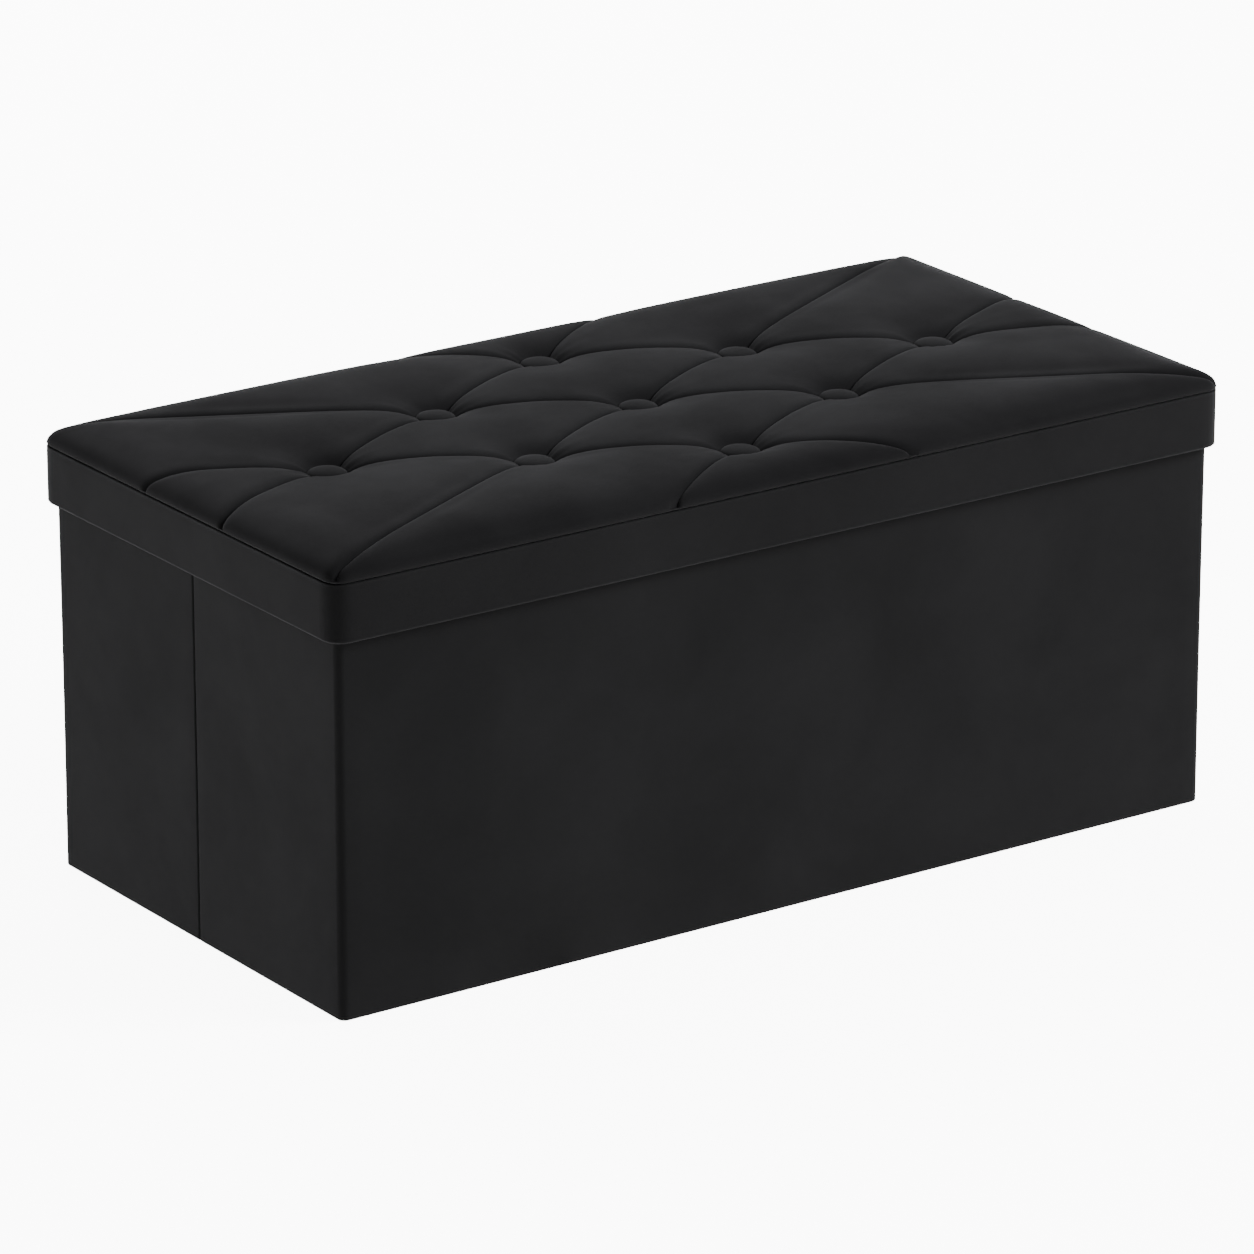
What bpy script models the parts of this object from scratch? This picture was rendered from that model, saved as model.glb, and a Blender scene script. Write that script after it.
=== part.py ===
"""Folding storage ottoman: a cloth-covered box with a lift-off, tufted lid.

The box is two long walls and two ends. Each end is two half panels that fold inwards about a seam
down the middle, so that the long walls come together. The base is two leaves, one on each long
wall, which rise like a tent as the box folds. Lengths are in metres, +X runs along the box, the
front faces -Y and the origin is on the floor under the middle.
"""

import math

import bmesh
import bpy

# The box, over its cloth
BODY_LENGTH = 0.745
BODY_WIDTH = 0.365
WALL_HEIGHT = 0.304
BODY_CORNER = 0.006  # radius of the box's four upright corners
PANEL_EDGE = 0.001  # radius of an end panel's upright edges

# Sheet goods
CLOTH = 0.0012  # velvet and its backing
LINING = 0.0008  # non-woven lining
WALL_BOARD = 0.009
END_BOARD = 0.009
BASE_BOARD = 0.005
LID_BOARD = 0.009
SKIRT_BOARD = 0.0025
RIBBON = 0.0008

# Clearances
GAP = 0.0003  # between pieces that touch
LID_CLEARANCE = 0.002  # between the box and the lid's skirt, on each side
END_CLEARANCE = 0.0005  # between an end panel and the long wall that it meets
SEAM_HALF_GAP = 0.0004  # from the middle seam to each half panel
SEAM_PROUD = 0.0003  # how far the middle seam's axis lies outside the ends' cloth
LEAF_CLEARANCE = 0.0015  # between a base leaf that stands up and its wall
LEAF_HALF_GAP = 0.0003  # from the middle of the base to each leaf
LEAF_END_GAP = 0.001  # from a base leaf's long edge to the end panel
FOLD_CLEARANCE = 0.0005  # between a base leaf that stands up and the folded end panels

# Lid
LID_CORNER = 0.014
SKIRT_DROP = 0.0305  # how far the skirt hangs below the top of the walls
SEAM_RISE = 0.0014  # from the top of the lid's board to the seam round the cushion
CUSHION_RISE = 0.0197  # from that seam to the top of the cushion
SOFT_EDGE = 0.012  # radius of the cushion's upper edge

# Buttons: a diamond lattice, five across and five deep
BUTTON_RADIUS = 0.01425
BUTTON_DOME = 0.005
BUTTON_RIM = 0.002
BUTTON_END_MARGIN = 0.118  # from the lid's end to the nearest button
BUTTON_SIDE_MARGIN = 0.066  # from the lid's front and back to the nearest button
TWINE_RADIUS = 0.001
TWINE_HOLE_RADIUS = 0.0016
POCKET_DEPTH = 0.016  # from the top of the cushion to the cloth under a button
POCKET_FLARE = 0.010  # how much wider a pocket is at the top than at the button
POCKET_MARGIN = 0.001  # from a button to the foot of its pocket
DISC_RADIUS = 0.008
DISC_THICKNESS = 0.0015

# Base
BASE_CLOTH_Z = 0.0006
BASE_BOARD_Z = 0.0020
RIBBON_LENGTH = 0.060
RIBBON_WIDTH = 0.020
RIBBON_INSET = 0.004  # from the leaf's free edge to the ribbon

CORNER_SEGMENTS = 5
ROUND_SIDES = 16
HOLE_SIDES = 8

# Worked out from the sizes above
WALL_DEPTH = CLOTH + GAP + WALL_BOARD + GAP + LINING
END_DEPTH = CLOTH + GAP + END_BOARD + GAP + LINING
LEAF_DEPTH = BASE_BOARD + GAP + LINING
INNER_X = BODY_LENGTH / 2 - END_DEPTH  # the ends' inner faces
INNER_Y = BODY_WIDTH / 2 - WALL_DEPTH  # the walls' inner faces
CORNER_OFFSET = LEAF_CLEARANCE + LEAF_DEPTH + FOLD_CLEARANCE  # from a wall to its end hinges
CORNER_Y = INNER_Y - CORNER_OFFSET
SEAM_X = BODY_LENGTH / 2 + SEAM_PROUD
LEAF_HINGE_Y = INNER_Y - LEAF_CLEARANCE
LEAF_HINGE_Z = BASE_BOARD_Z + LEAF_DEPTH
LEAF_REACH = LEAF_HINGE_Y - LEAF_HALF_GAP  # from a leaf's hinge to its free edge

SKIRT_DEPTH = CLOTH + GAP + SKIRT_BOARD + GAP + CLOTH
LID_LENGTH = BODY_LENGTH + 2 * (LID_CLEARANCE + SKIRT_DEPTH)
LID_WIDTH = BODY_WIDTH + 2 * (LID_CLEARANCE + SKIRT_DEPTH)
SKIRT_BOTTOM = WALL_HEIGHT - SKIRT_DROP
LID_LINING_Z = WALL_HEIGHT + GAP
LID_BOARD_Z = LID_LINING_Z + LINING + GAP
LID_BOARD_TOP = LID_BOARD_Z + LID_BOARD
SEAM_Z = LID_BOARD_TOP + SEAM_RISE
CREST_Z = SEAM_Z + CUSHION_RISE
POCKET_Z = CREST_Z - POCKET_DEPTH
BUTTON_Z = POCKET_Z + GAP
DISC_TOP = LID_BOARD_Z + DISC_THICKNESS
DISC_SEAT_TOP = DISC_TOP + GAP
BOARD_INSET = SKIRT_DEPTH - CLOTH  # from the lid's outer face to its board's edge

VELVET = ("velvet", (0.020, 0.020, 0.021), 0.85)
LINING_CLOTH = ("lining_cloth", (0.028, 0.028, 0.030), 0.9)
BOARD = ("fibreboard", (0.36, 0.24, 0.14), 0.75)
FOAM = ("foam", (0.80, 0.74, 0.56), 0.95)
DISC = ("nylon_disc", (0.55, 0.55, 0.53), 0.5)


def clear_scene():
    for item in list(bpy.data.objects):
        bpy.data.objects.remove(item)


def new_collection(name):
    made = bpy.data.collections.new(name)
    bpy.context.scene.collection.children.link(made)
    return made


clear_scene()
OTTOMAN = new_collection("storage_ottoman")
CUTTERS = new_collection("cutters")


def material(finish):
    """The Principled material of a finish, made the first time that it is asked for."""
    name, colour, roughness = finish
    found = bpy.data.materials.get(name)
    if found:
        return found
    made = bpy.data.materials.new(name)
    made.use_nodes = True
    shader = made.node_tree.nodes["Principled BSDF"]
    shader.inputs["Base Color"].default_value = (*colour, 1.0)
    shader.inputs["Roughness"].default_value = roughness
    shader.inputs["Metallic"].default_value = 0.0
    return made


def add_object(name, bm, finish=None):
    """An object of a bmesh. One without a finish is a cutter."""
    mesh = bpy.data.meshes.new(name)
    bm.to_mesh(mesh)
    bm.free()
    item = bpy.data.objects.new(name, mesh)
    if finish:
        OTTOMAN.objects.link(item)
        mesh.materials.append(material(finish))
    else:
        CUTTERS.objects.link(item)
        item.hide_render = True
        item.display_type = "WIRE"
    return item


def cut(item, cutter):
    """Takes the cutter's shape out of the item."""
    modifier = item.modifiers.new("cut_" + cutter.name, "BOOLEAN")
    modifier.operation = "DIFFERENCE"
    modifier.solver = "EXACT"
    modifier.object = cutter


def cube_between(low, high):
    """A bmesh cube primitive stretched between two corners."""
    bm = bmesh.new()
    bmesh.ops.create_cube(bm, size=1.0)
    for vert in bm.verts:
        for axis in range(3):
            vert.co[axis] = low[axis] + (vert.co[axis] + 0.5) * (high[axis] - low[axis])
    return bm


def upright(edge):
    top, bottom = (vert.co for vert in edge.verts)
    return abs(top.x - bottom.x) < 1e-6 and abs(top.y - bottom.y) < 1e-6


def round_edges(bm, edges, radius, segments=CORNER_SEGMENTS):
    if radius > 0:
        bmesh.ops.bevel(bm, geom=edges, offset=radius, segments=segments, profile=0.5, affect="EDGES")


def slab_mesh(inset, low, high, soft_edge=0.0):
    """The lid's rounded plan, drawn in by an inset, from one height to another."""
    half_x, half_y = LID_LENGTH / 2 - inset, LID_WIDTH / 2 - inset
    bm = cube_between((-half_x, -half_y, low), (half_x, half_y, high))
    round_edges(bm, [edge for edge in bm.edges if upright(edge)], LID_CORNER - inset)
    rim = [edge for edge in bm.edges if all(abs(vert.co.z - high) < 1e-6 for vert in edge.verts)]
    round_edges(bm, rim, soft_edge)
    return bm


def slab(name, inset, low, high, finish=None, soft_edge=0.0):
    return add_object(name, slab_mesh(inset, low, high, soft_edge), finish)


def button_places():
    """The lattice's points: the four corners of each diamond and its middle."""
    reach_x, reach_y = LID_LENGTH / 2 - BUTTON_END_MARGIN, LID_WIDTH / 2 - BUTTON_SIDE_MARGIN
    steps = (-1.0, -0.5, 0.0, 0.5, 1.0)
    return [(a * reach_x, b * reach_y) for b in steps for a in steps
            if abs(a) + abs(b) in (0.0, 1.0)]


def cones_at_buttons(name, low, high, low_radius, high_radius, sides):
    """One cutter with a cone or cylinder at each button."""
    bm = bmesh.new()
    for x, y in button_places():
        made = bmesh.ops.create_cone(bm, cap_ends=True, segments=sides, radius1=low_radius,
                                     radius2=high_radius, depth=high - low)
        bmesh.ops.translate(bm, verts=made["verts"], vec=(x, y, (low + high) / 2))
    return add_object(name, bm)


def cushion_form(name, inset, low, finish=None):
    """The cushion's shape drawn in by an inset, with a flared pocket at each button."""
    soft_edge = min(SOFT_EDGE, LID_CORNER - GAP)  # an edge can't be rounder than its corner
    form = slab(name, inset, low, CREST_Z - inset, finish, soft_edge - inset)
    foot = BUTTON_RADIUS + POCKET_MARGIN + inset
    overshoot = 0.001
    flare = POCKET_FLARE * (POCKET_DEPTH + overshoot) / POCKET_DEPTH
    cut(form, cones_at_buttons(name + "_pockets", POCKET_Z - inset, CREST_Z + overshoot, foot,
                               foot + flare, ROUND_SIDES))
    return form


def make_pivot(name, place, parent=None):
    """An empty on a joint's axis. Its own moving pieces and the next pivot hang from it."""
    pivot = bpy.data.objects.new(name, None)
    pivot.empty_display_size = 0.03
    OTTOMAN.objects.link(pivot)
    pivot["place"] = place
    hang(pivot, parent, place)
    return pivot


def hang(item, pivot, place=(0.0, 0.0, 0.0)):
    """Puts an item at a place in the box's frame, as a child of a pivot."""
    base = pivot["place"] if pivot else (0.0, 0.0, 0.0)
    item.parent = pivot
    item.location = [place[axis] - base[axis] for axis in range(3)]


def block(name, length, depth, height, corner, finish=None):
    """A board standing up, its face on the plane Y = 0, with that face's upright edges rounded."""
    bm = cube_between((-length / 2, 0.0, 0.0), (length / 2, depth, height))
    face_edges = [edge for edge in bm.edges
                  if upright(edge) and all(abs(vert.co.y) < 1e-6 for vert in edge.verts)]
    round_edges(bm, face_edges, corner)
    return add_object(name, bm, finish)


def make_panel(name, length, board, corner, pivot, place, turn):
    """A covered panel: a cloth tray over the face and the four edges, a board and a lining."""
    inside = CLOTH + GAP
    depth = inside + board + GAP + LINING
    cover = block(name + "_cover", length, depth, WALL_HEIGHT, corner, VELVET)
    hollow = block(name + "_hollow", length - 2 * CLOTH, 2 * depth, WALL_HEIGHT - 2 * CLOTH,
                   max(corner - CLOTH, 0.0))
    cut(cover, hollow)
    core = block(name + "_board", length - 2 * inside, board, WALL_HEIGHT - 2 * inside,
                 max(corner - inside, 0.0), BOARD)
    lining = block(name + "_lining", length - 2 * inside, LINING, WALL_HEIGHT - 2 * inside, 0.0,
                   LINING_CLOTH)
    for item, offset, rise in ((cover, 0.0, 0.0), (hollow, CLOTH, CLOTH), (core, inside, inside),
                               (lining, inside + board + GAP, inside)):
        shift = (-math.sin(turn) * offset, math.cos(turn) * offset, rise)
        hang(item, pivot, [place[axis] + shift[axis] for axis in range(3)])
        item.rotation_euler.z = turn


def make_walls(back_pivot):
    for name, side, pivot in (("front_wall", -1, None), ("back_wall", 1, back_pivot)):
        turn = 0.0 if side < 0 else math.pi
        make_panel(name, BODY_LENGTH, WALL_BOARD, BODY_CORNER, pivot,
                   (0.0, side * BODY_WIDTH / 2, 0.0), turn)


def make_ends():
    """Both ends, two half panels each. Gives the pivot that the back wall hangs from."""
    length = INNER_Y - END_CLEARANCE - SEAM_HALF_GAP
    middle = (INNER_Y - END_CLEARANCE + SEAM_HALF_GAP) / 2
    for name, side in (("right", 1), ("left", -1)):
        front = make_pivot(name + "_front_pivot", (side * INNER_X, -CORNER_Y, 0.0))
        seam = make_pivot(name + "_seam_pivot", (side * SEAM_X, 0.0, 0.0), front)
        for half, pivot, y in (("_front", front, -middle), ("_rear", seam, middle)):
            make_panel(name + half, length, END_BOARD, PANEL_EDGE, pivot,
                       (side * BODY_LENGTH / 2, y, 0.0), side * math.pi / 2)
    return make_pivot("left_rear_pivot", (-INNER_X, CORNER_Y, 0.0), seam)


def leaf_mesh(side, low, high):
    """A base leaf in plan: its ends are mitred at 45 degrees, so that it clears the ends."""
    half_x = INNER_X - LEAF_END_GAP
    hinge_y, free_y = side * LEAF_HINGE_Y, side * LEAF_HALF_GAP
    bm = cube_between((-half_x, min(hinge_y, free_y), low), (half_x, max(hinge_y, free_y), high))
    for vert in bm.verts:
        if abs(vert.co.y - free_y) < 1e-6:
            vert.co.x -= math.copysign(LEAF_REACH, vert.co.x)
    return bm


def make_base(back_pivot):
    """The two leaves, each on its wall's hinge, a pull ribbon and the cloth under them."""
    for name, side, parent in (("front_base", -1, None), ("rear_base", 1, back_pivot)):
        hinge = make_pivot(name + "_pivot", (0.0, side * LEAF_HINGE_Y, LEAF_HINGE_Z), parent)
        board_top = BASE_BOARD_Z + BASE_BOARD
        board = add_object(name + "_board", leaf_mesh(side, BASE_BOARD_Z, board_top), BOARD)
        lining = add_object(name + "_lining", leaf_mesh(side, board_top + GAP, LEAF_HINGE_Z),
                            LINING_CLOTH)
        hang(board, hinge)
        hang(lining, hinge)
        if side < 0:
            far = -LEAF_HALF_GAP - RIBBON_INSET
            low = (-RIBBON_LENGTH / 2, far - RIBBON_WIDTH, LEAF_HINGE_Z + GAP)
            high = (RIBBON_LENGTH / 2, far, LEAF_HINGE_Z + GAP + RIBBON)
            hang(add_object("base_pull_ribbon", cube_between(low, high), VELVET), hinge)
    half_x, half_y = INNER_X - LEAF_END_GAP, INNER_Y - LEAF_END_GAP
    cloth = cube_between((-half_x, -half_y, BASE_CLOTH_Z), (half_x, half_y, BASE_CLOTH_Z + LINING))
    hang(add_object("bottom_cloth", cloth, LINING_CLOTH), None)


def make_skirt(lid_pivot):
    """The band of cloth that hangs round the box, folded up round four strips of board."""
    cover = slab("skirt_cover", 0.0, SKIRT_BOTTOM, SEAM_Z, VELVET)
    above = SEAM_Z + CUSHION_RISE
    below = SKIRT_BOTTOM - CUSHION_RISE
    channel = slab("skirt_channel", CLOTH, SKIRT_BOTTOM + CLOTH, above)
    channel_core = slab("skirt_channel_core", SKIRT_DEPTH - CLOTH, below, above + CUSHION_RISE)
    cut(channel, channel_core)
    hollow = slab("skirt_hollow", SKIRT_DEPTH, below, above)
    board_room = slab("skirt_board_room", CLOTH, LID_BOARD_Z - GAP, above)
    for cutter in (channel, hollow, board_room):
        cut(cover, cutter)
        hang(cutter, lid_pivot)
    hang(channel_core, lid_pivot)
    hang(cover, lid_pivot)
    outer, low = CLOTH + GAP, SKIRT_BOTTOM + CLOTH + GAP
    half_x, half_y = LID_LENGTH / 2, LID_WIDTH / 2
    for name, sign in (("front", -1), ("back", 1)):
        faces = sorted((sign * (half_y - outer), sign * (half_y - outer - SKIRT_BOARD)))
        strip = cube_between((LID_CORNER - half_x, faces[0], low),
                             (half_x - LID_CORNER, faces[1], LID_BOARD_TOP))
        hang(add_object(name + "_skirt_board", strip, BOARD), lid_pivot)
    for name, sign in (("left", -1), ("right", 1)):
        faces = sorted((sign * (half_x - outer), sign * (half_x - outer - SKIRT_BOARD)))
        strip = cube_between((faces[0], LID_CORNER - half_y, low),
                             (faces[1], half_y - LID_CORNER, LID_BOARD_TOP))
        hang(add_object(name + "_skirt_board", strip, BOARD), lid_pivot)


def make_cushion(lid_pivot):
    """The lid's board and lining, the foam on it and the tufted cloth over the foam."""
    overshoot = CUSHION_RISE
    twine_holes = cones_at_buttons("twine_holes", LID_BOARD_Z - overshoot, CREST_Z + overshoot,
                                   TWINE_HOLE_RADIUS, TWINE_HOLE_RADIUS, HOLE_SIDES)
    disc_seats = cones_at_buttons("disc_seats", LID_BOARD_Z - overshoot, DISC_SEAT_TOP,
                                  DISC_RADIUS + GAP, DISC_RADIUS + GAP, ROUND_SIDES)
    board = slab("lid_board", BOARD_INSET, LID_BOARD_Z, LID_BOARD_TOP, BOARD)
    cut(board, twine_holes)
    cut(board, disc_seats)
    lining = slab("lid_lining", SKIRT_DEPTH + GAP, LID_LINING_Z, LID_LINING_Z + LINING,
                  LINING_CLOTH)
    foam = cushion_form("foam_pad", CLOTH + GAP, LID_BOARD_TOP + GAP, FOAM)
    cut(foam, twine_holes)
    cover = cushion_form("cushion_cover", 0.0, SEAM_Z + GAP, VELVET)
    cut(cover, cushion_form("cushion_hollow", CLOTH, LID_BOARD_TOP - overshoot))
    cut(cover, twine_holes)
    for item in (twine_holes, disc_seats, board, lining, foam, cover):
        hang(item, lid_pivot)


def button_profile():
    """Down the outside: a quarter ellipse for the dome, a short rim, then the twine."""
    rim_z = BUTTON_Z + BUTTON_RIM
    turns = [math.radians(angle) for angle in (0, 25, 50, 72, 90)]
    dome = [(BUTTON_RADIUS * math.sin(turn), rim_z + BUTTON_DOME * math.cos(turn)) for turn in turns]
    foot = [(BUTTON_RADIUS - BUTTON_RIM, BUTTON_Z), (TWINE_RADIUS, BUTTON_Z),
            (TWINE_RADIUS, DISC_SEAT_TOP), (0.0, DISC_SEAT_TOP)]
    return dome + foot


def turned_mesh(points):
    """An open profile in the XZ plane, for a Screw modifier to turn."""
    bm = bmesh.new()
    verts = [bm.verts.new((radius, 0.0, height)) for radius, height in points]
    for first, second in zip(verts, verts[1:]):
        bm.edges.new((first, second))
    return bm


def make_buttons(lid_pivot):
    """Nine domed buttons, each tied through the foam and the board to a disc under it."""
    for number, (x, y) in enumerate(button_places(), start=1):
        button = add_object(f"button_{number}", turned_mesh(button_profile()), VELVET)
        screw = button.modifiers.new("turn", "SCREW")
        screw.steps = ROUND_SIDES
        screw.render_steps = ROUND_SIDES
        screw.use_merge_vertices = True
        screw.merge_threshold = 0.00001
        hang(button, lid_pivot, (x, y, 0.0))
        bm = bmesh.new()
        bmesh.ops.create_cone(bm, cap_ends=True, segments=ROUND_SIDES, radius1=DISC_RADIUS,
                              radius2=DISC_RADIUS, depth=DISC_THICKNESS)
        disc = add_object(f"button_disc_{number}", bm, DISC)
        hang(disc, lid_pivot, (x, y, LID_BOARD_Z + DISC_THICKNESS / 2))


def main():
    back_pivot = make_ends()
    make_walls(back_pivot)
    make_base(back_pivot)
    lid_pivot = make_pivot("lid_pivot", (0.0, 0.0, WALL_HEIGHT))
    make_skirt(lid_pivot)
    make_cushion(lid_pivot)
    make_buttons(lid_pivot)


main()
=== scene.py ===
"""Looks of the folding storage ottoman: a tufted velvet lid over a cloth-covered folding box.

Lengths are in metres, in the frame's axes: X along the box, -Y the front, +Z up. Each new piece is
a surface worked out as whole arrays, and each material is made from nodes.
"""

import math

import bmesh
import bpy
import numpy as np
from mathutils import Euler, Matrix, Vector


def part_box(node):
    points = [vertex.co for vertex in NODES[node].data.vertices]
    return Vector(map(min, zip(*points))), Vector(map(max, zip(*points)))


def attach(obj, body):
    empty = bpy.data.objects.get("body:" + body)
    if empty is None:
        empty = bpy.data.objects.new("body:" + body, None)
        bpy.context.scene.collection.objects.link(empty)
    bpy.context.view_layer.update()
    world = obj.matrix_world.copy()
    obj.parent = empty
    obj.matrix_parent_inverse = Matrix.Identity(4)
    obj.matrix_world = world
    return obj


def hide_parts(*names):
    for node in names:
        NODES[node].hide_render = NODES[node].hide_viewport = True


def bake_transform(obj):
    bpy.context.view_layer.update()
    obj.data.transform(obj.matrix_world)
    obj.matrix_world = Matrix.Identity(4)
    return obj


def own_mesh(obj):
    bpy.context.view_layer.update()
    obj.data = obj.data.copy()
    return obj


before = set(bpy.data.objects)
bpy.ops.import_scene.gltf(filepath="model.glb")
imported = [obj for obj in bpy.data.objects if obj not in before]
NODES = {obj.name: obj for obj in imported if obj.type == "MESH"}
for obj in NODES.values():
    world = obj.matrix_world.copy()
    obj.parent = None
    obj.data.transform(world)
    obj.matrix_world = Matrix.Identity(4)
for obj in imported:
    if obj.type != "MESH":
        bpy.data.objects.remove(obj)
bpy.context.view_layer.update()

MM = 0.001

# Places read from the frame
LID_LOW, LID_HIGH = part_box("skirt_cover")
FRONT_LOW, FRONT_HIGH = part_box("front_wall_cover")
SEAM_Z = LID_HIGH.z
SKIRT_BOTTOM = LID_LOW.z
HALF_X, HALF_Y = LID_HIGH.x, LID_HIGH.y
BOARD_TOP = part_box("lid_board")[1].z
LID_LINING_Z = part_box("lid_lining")[0].z
BODY_X, BODY_Y = FRONT_HIGH.x, -FRONT_LOW.y
WALL_HEIGHT = FRONT_HIGH.z
WALL_DEPTH = FRONT_HIGH.y - FRONT_LOW.y
SEAM_HALF_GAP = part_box("left_rear_cover")[0].y
LEAF_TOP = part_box("front_base_lining")[1].z
BUTTON_NODES = [f"button_{number}" for number in range(1, 10)]
BUTTONS = np.array([[(low[axis] + high[axis]) / 2 for axis in (0, 1)]
                    for low, high in map(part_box, BUTTON_NODES)])
BUTTON_LOW, BUTTON_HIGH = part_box("button_1")
BUTTON_RADIUS = (BUTTON_HIGH.x - BUTTON_LOW.x) / 2

# Cloths and corners
VELVET_THICK = 1.2 * MM
LINING_THICK = 0.8 * MM
LID_CORNER = 14 * MM
BODY_CORNER = 6 * MM
SKIRT_DEPTH = 5.5 * MM


# ---------------------------------------------------------------- mesh building

def grid_faces(rows, columns, around=False, start=0):
    """Quads between neighbouring points of a grid; around joins the last column to the first."""
    row, column = np.meshgrid(np.arange(rows - 1), np.arange(columns - (not around)), indexing="ij")
    following = (column + 1) % columns
    quads = np.stack([row * columns + column, row * columns + following,
                      (row + 1) * columns + following, (row + 1) * columns + column], axis=-1)
    return quads.reshape(-1, 4) + start


def joined_faces(grids, around=False):
    """The quads of several grids whose points are listed one after another."""
    starts = np.cumsum([0] + [grid.shape[0] * grid.shape[1] for grid in grids[:-1]])
    return np.concatenate([grid_faces(*grid.shape[:2], around=around, start=start)
                           for grid, start in zip(grids, starts)])


def surface_object(name, grids, inside=(0, 0, 0), around=False, merge=1e-6, thick=0.0, sharp=50):
    """Grids joined into one smooth mesh whose faces point away from the point inside. A thickness
    gives it a wall on that side, and the wall's rims close it."""
    points = np.concatenate([grid.reshape(-1, 3) for grid in grids])
    mesh = bpy.data.meshes.new(name)
    mesh.from_pydata(points.tolist(), [], joined_faces(grids, around).tolist())
    bm = bmesh.new()
    bm.from_mesh(mesh)
    bmesh.ops.remove_doubles(bm, verts=bm.verts, dist=merge)
    bmesh.ops.dissolve_degenerate(bm, dist=merge / 10, edges=bm.edges)
    bmesh.ops.recalc_face_normals(bm, faces=bm.faces)
    middle = Vector(inside)
    if sum((face.calc_center_median() - middle).dot(face.normal) * face.calc_area()
           for face in bm.faces) < 0:
        bmesh.ops.reverse_faces(bm, faces=bm.faces)
    bm.to_mesh(mesh)
    bm.free()
    item = bpy.data.objects.new(name, mesh)
    bpy.context.scene.collection.objects.link(item)
    if thick:
        wall = item.modifiers.new("wall", "SOLIDIFY")
        wall.thickness = thick
        wall.offset = -1.0
        made = bpy.data.meshes.new_from_object(
            item.evaluated_get(bpy.context.evaluated_depsgraph_get()))
        item.modifiers.remove(wall)
        item.data = made
        bpy.data.meshes.remove(mesh)
        made.name = name
    item.data.shade_smooth()
    item.data.set_sharp_from_angle(angle=math.radians(sharp))
    return item


def arc(centre, radius, start, end, count=7):
    """Points of an arc, its angles in degrees."""
    turn = np.radians(np.linspace(start, end, count))
    return np.column_stack([centre[0] + radius * np.cos(turn), centre[1] + radius * np.sin(turn)])


def rounded_path(corners, radii, spacing):
    """A path through corners. Each corner with a radius becomes the arc that touches both its
    sides, and the straight runs between arcs are cut into equal steps of about the spacing."""
    corners = [np.array(corner, dtype=float) for corner in corners]
    points = [corners[0][None]]
    for before, corner, after, radius in zip(corners, corners[1:], corners[2:], radii):
        arrive = (corner - before) / np.hypot(*(corner - before))
        leave = (after - corner) / np.hypot(*(after - corner))
        turn = math.acos(np.clip(arrive @ leave, -1, 1))
        reach = radius * math.tan(turn / 2)
        side = leave - (arrive @ leave) * arrive
        centre = corner - arrive * reach + side / np.hypot(*side) * radius
        share = np.linspace(0, turn, 10)[:, None]
        points.append(centre + radius * (arrive * np.sin(share) - side / np.hypot(*side) * np.cos(share)))
    points.append(corners[-1][None])
    made = [points[0]]
    for run in points[1:]:
        start, end = made[-1][-1], run[0]
        steps = max(1, round(float(np.hypot(*(end - start))) / spacing))
        made.append(start + (end - start) * np.arange(1, steps + 1)[:, None] / steps)
        made.append(run[1:])
    return np.concatenate(made)


def drawn_in(points, inset, half_x, half_y, corner):
    """Points on a rounded rectangle drawn in by an inset. Up to the corner's radius they move
    towards the rectangle at the corners' centres, and past it they are clipped to a sharp one."""
    core = np.clip(points, [corner - half_x, corner - half_y], [half_x - corner, half_y - corner])
    inset = np.broadcast_to(inset, points.shape[:-1])[..., None]
    limit = np.maximum(np.array([half_x, half_y]) - inset, 0)
    near = core + (points - core) * (1 - inset / corner)
    return np.where(inset < corner, near, np.clip(core, -limit, limit))


# ---------------------------------------------------------------- the lid's plan

def inside_distance(x, y):
    """How far a point lies inside the lid's rounded outline: the corner's radius, less how far the
    point lies outside the rectangle at the corners' centres, plus how deep it lies within it."""
    over_x = np.abs(x) - (HALF_X - LID_CORNER)
    over_y = np.abs(y) - (HALF_Y - LID_CORNER)
    outside = np.hypot(np.maximum(over_x, 0), np.maximum(over_y, 0))
    return LID_CORNER - outside - np.minimum(np.maximum(over_x, over_y), 0)


def outline_point(turn):
    """A point of the lid's outline by its share of the way round from the middle of the right-hand
    end: straight runs and quarter circles in turn, by length."""
    straight_x, straight_y = HALF_X - LID_CORNER, HALF_Y - LID_CORNER
    bend = math.pi / 2 * LID_CORNER
    lengths = [straight_y, bend, 2 * straight_x, bend, 2 * straight_y, bend, 2 * straight_x, bend,
               straight_y]
    ends = np.concatenate([[0.0], np.cumsum(lengths)])
    along = (np.asarray(turn) % 1.0) * ends[-1]
    piece = np.clip(np.searchsorted(ends, along, side="right") - 1, 0, 8)
    rest = along - ends[piece]
    angle = (piece - 1) / 2 * (math.pi / 2) + rest / LID_CORNER
    side_x = np.where((piece == 1) | (piece == 7), straight_x, -straight_x)
    side_y = np.where((piece == 1) | (piece == 3), straight_y, -straight_y)
    straight = [piece == 0, piece == 8, piece == 2, piece == 4, piece == 6]
    x = np.select(straight, [HALF_X, HALF_X, straight_x - rest, -HALF_X, rest - straight_x],
                  side_x + LID_CORNER * np.cos(angle))
    y = np.select(straight, [rest, rest - straight_y, HALF_Y, straight_y - rest, -HALF_Y],
                  side_y + LID_CORNER * np.sin(angle))
    return np.stack([x, y], axis=-1)


# ---------------------------------------------------------------- the tufted cushion

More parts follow.
